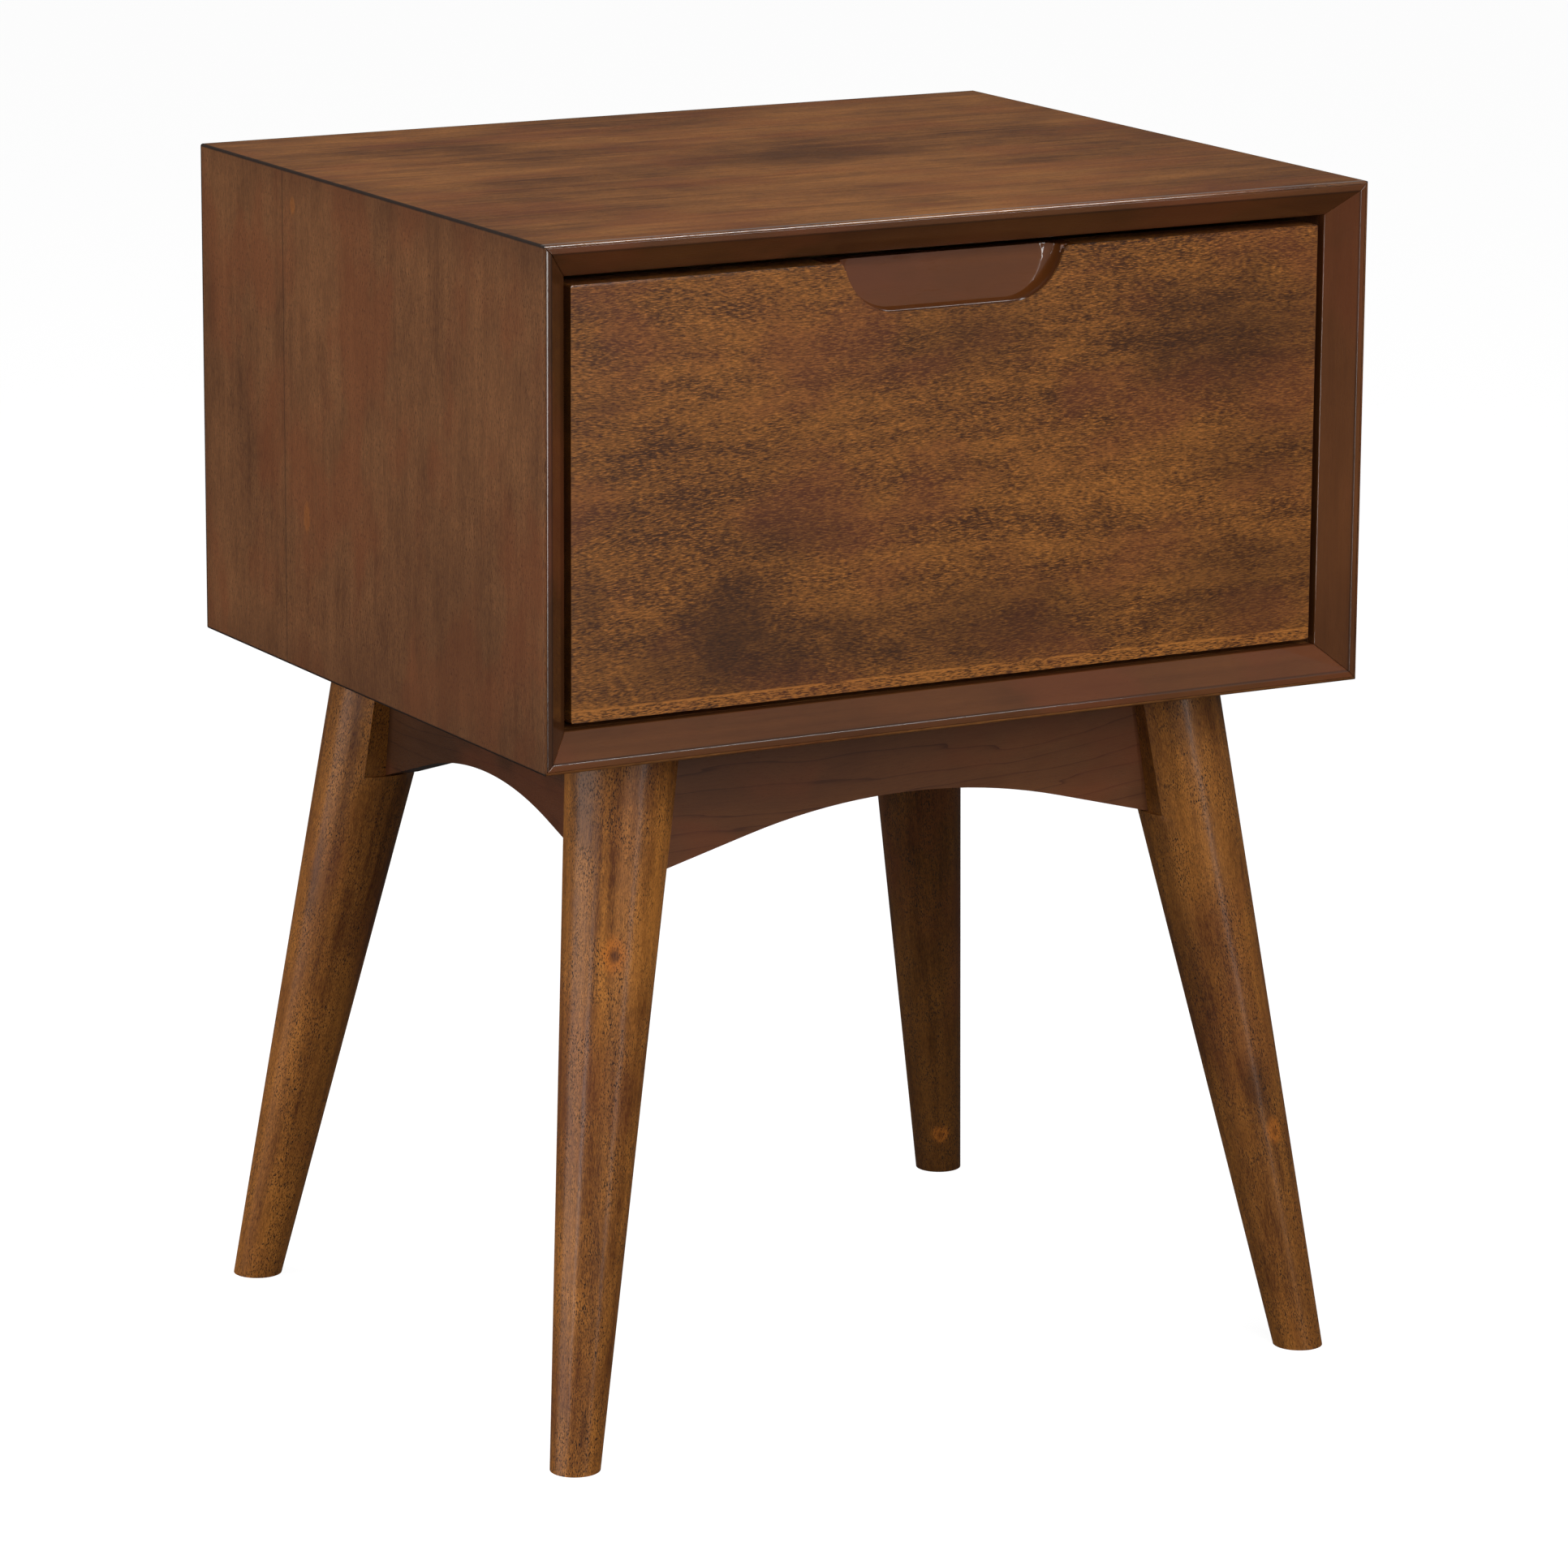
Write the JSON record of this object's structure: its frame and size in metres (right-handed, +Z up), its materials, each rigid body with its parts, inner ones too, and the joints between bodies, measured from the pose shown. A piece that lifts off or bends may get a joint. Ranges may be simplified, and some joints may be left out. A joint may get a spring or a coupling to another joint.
{
  "type": "side table with drawer",
  "caption": "Bedside table: mitred wooden cabinet with a bevelled front frame and a drawer with a scooped finger pull, on splayed tapered turned legs joined by arched aprons",
  "frame": {"origin": "on the floor, under the middle of the table", "axes": "X across the front with +X to the right, +Y to the back, +Z up; the drawer opens towards -Y"},
  "size_m": [0.5, 0.4242, 0.655],
  "materials": {
    "walnut_veneer": "satin lacquered veneer",
    "solid_walnut": "satin lacquered solid wood",
    "leg_wood": "satin lacquered turned wood",
    "apron_wood": "satin lacquered solid wood",
    "drawer_box_wood": "matt lacquered plywood",
    "beech": "bare planed wood",
    "slide_steel": "zinc-plated rolled steel",
    "screw_steel": "zinc-plated"
  },
  "bodies": {
    "root": {"top_panel": "walnut_veneer", "bottom_panel": "walnut_veneer", "left_panel": "walnut_veneer", "right_panel": "walnut_veneer", "back_panel": "drawer_box_wood", "top_trim": "solid_walnut", "bottom_trim": "solid_walnut", "left_trim": "solid_walnut", "right_trim": "solid_walnut", "mitre_splines": "beech", "back_screws": "screw_steel", "front_left_leg": "leg_wood", "front_right_leg": "leg_wood", "back_left_leg": "leg_wood", "back_right_leg": "leg_wood", "front_apron": "apron_wood", "back_apron": "apron_wood", "left_apron": "apron_wood", "right_apron": "apron_wood", "apron_dowels": "beech", "front_left_block": "beech", "front_right_block": "beech", "back_left_block": "beech", "back_right_block": "beech", "hanger_bolts": "screw_steel", "bolt_washers": "screw_steel", "bolt_nuts": "screw_steel", "block_screws": "screw_steel", "base_screws": "screw_steel", "left_cabinet_rail": "slide_steel", "right_cabinet_rail": "slide_steel", "cabinet_rail_screws": "screw_steel"},
    "drawer": {"drawer_front": "walnut_veneer", "pull_insert": "solid_walnut", "drawer_inner_front": "drawer_box_wood", "drawer_left_side": "drawer_box_wood", "drawer_right_side": "drawer_box_wood", "drawer_back": "drawer_box_wood", "drawer_bottom": "drawer_box_wood", "drawer_dowels": "beech", "drawer_front_screws": "screw_steel", "left_drawer_rail": "slide_steel", "right_drawer_rail": "slide_steel", "drawer_rail_screws": "screw_steel"},
    "left_middle_rail": {"left_middle_rail": "slide_steel"},
    "left_outer_cage": {"left_outer_cage": "slide_steel"},
    "left_inner_cage": {"left_inner_cage": "slide_steel"},
    "right_middle_rail": {"right_middle_rail": "slide_steel"},
    "right_outer_cage": {"right_outer_cage": "slide_steel"},
    "right_inner_cage": {"right_inner_cage": "slide_steel"}
  },
  "joints": [
    {"name": "drawer_slide", "type": "slide", "parent": "root", "child": "drawer", "axis": [0, -1, 0], "range_m": [0, 0.35]},
    {"name": "left_middle_rail_slide", "type": "slide", "parent": "root", "child": "left_middle_rail", "axis": [0, -1, 0], "range_m": [0, 0.175]},
    {"name": "left_outer_cage_slide", "type": "slide", "parent": "root", "child": "left_outer_cage", "axis": [0, -1, 0], "range_m": [0, 0.0875]},
    {"name": "left_inner_cage_slide", "type": "slide", "parent": "root", "child": "left_inner_cage", "axis": [0, -1, 0], "range_m": [0, 0.2625]},
    {"name": "right_middle_rail_slide", "type": "slide", "parent": "root", "child": "right_middle_rail", "axis": [0, -1, 0], "range_m": [0, 0.175]},
    {"name": "right_outer_cage_slide", "type": "slide", "parent": "root", "child": "right_outer_cage", "axis": [0, -1, 0], "range_m": [0, 0.0875]},
    {"name": "right_inner_cage_slide", "type": "slide", "parent": "root", "child": "right_inner_cage", "axis": [0, -1, 0], "range_m": [0, 0.2625]}
  ],
  "couplings": [
    {"joint": "left_middle_rail_slide", "follows": "drawer_slide", "ratio": 0.5},
    {"joint": "left_outer_cage_slide", "follows": "drawer_slide", "ratio": 0.25},
    {"joint": "left_inner_cage_slide", "follows": "drawer_slide", "ratio": 0.75},
    {"joint": "right_middle_rail_slide", "follows": "drawer_slide", "ratio": 0.5},
    {"joint": "right_outer_cage_slide", "follows": "drawer_slide", "ratio": 0.25},
    {"joint": "right_inner_cage_slide", "follows": "drawer_slide", "ratio": 0.75}
  ]
}
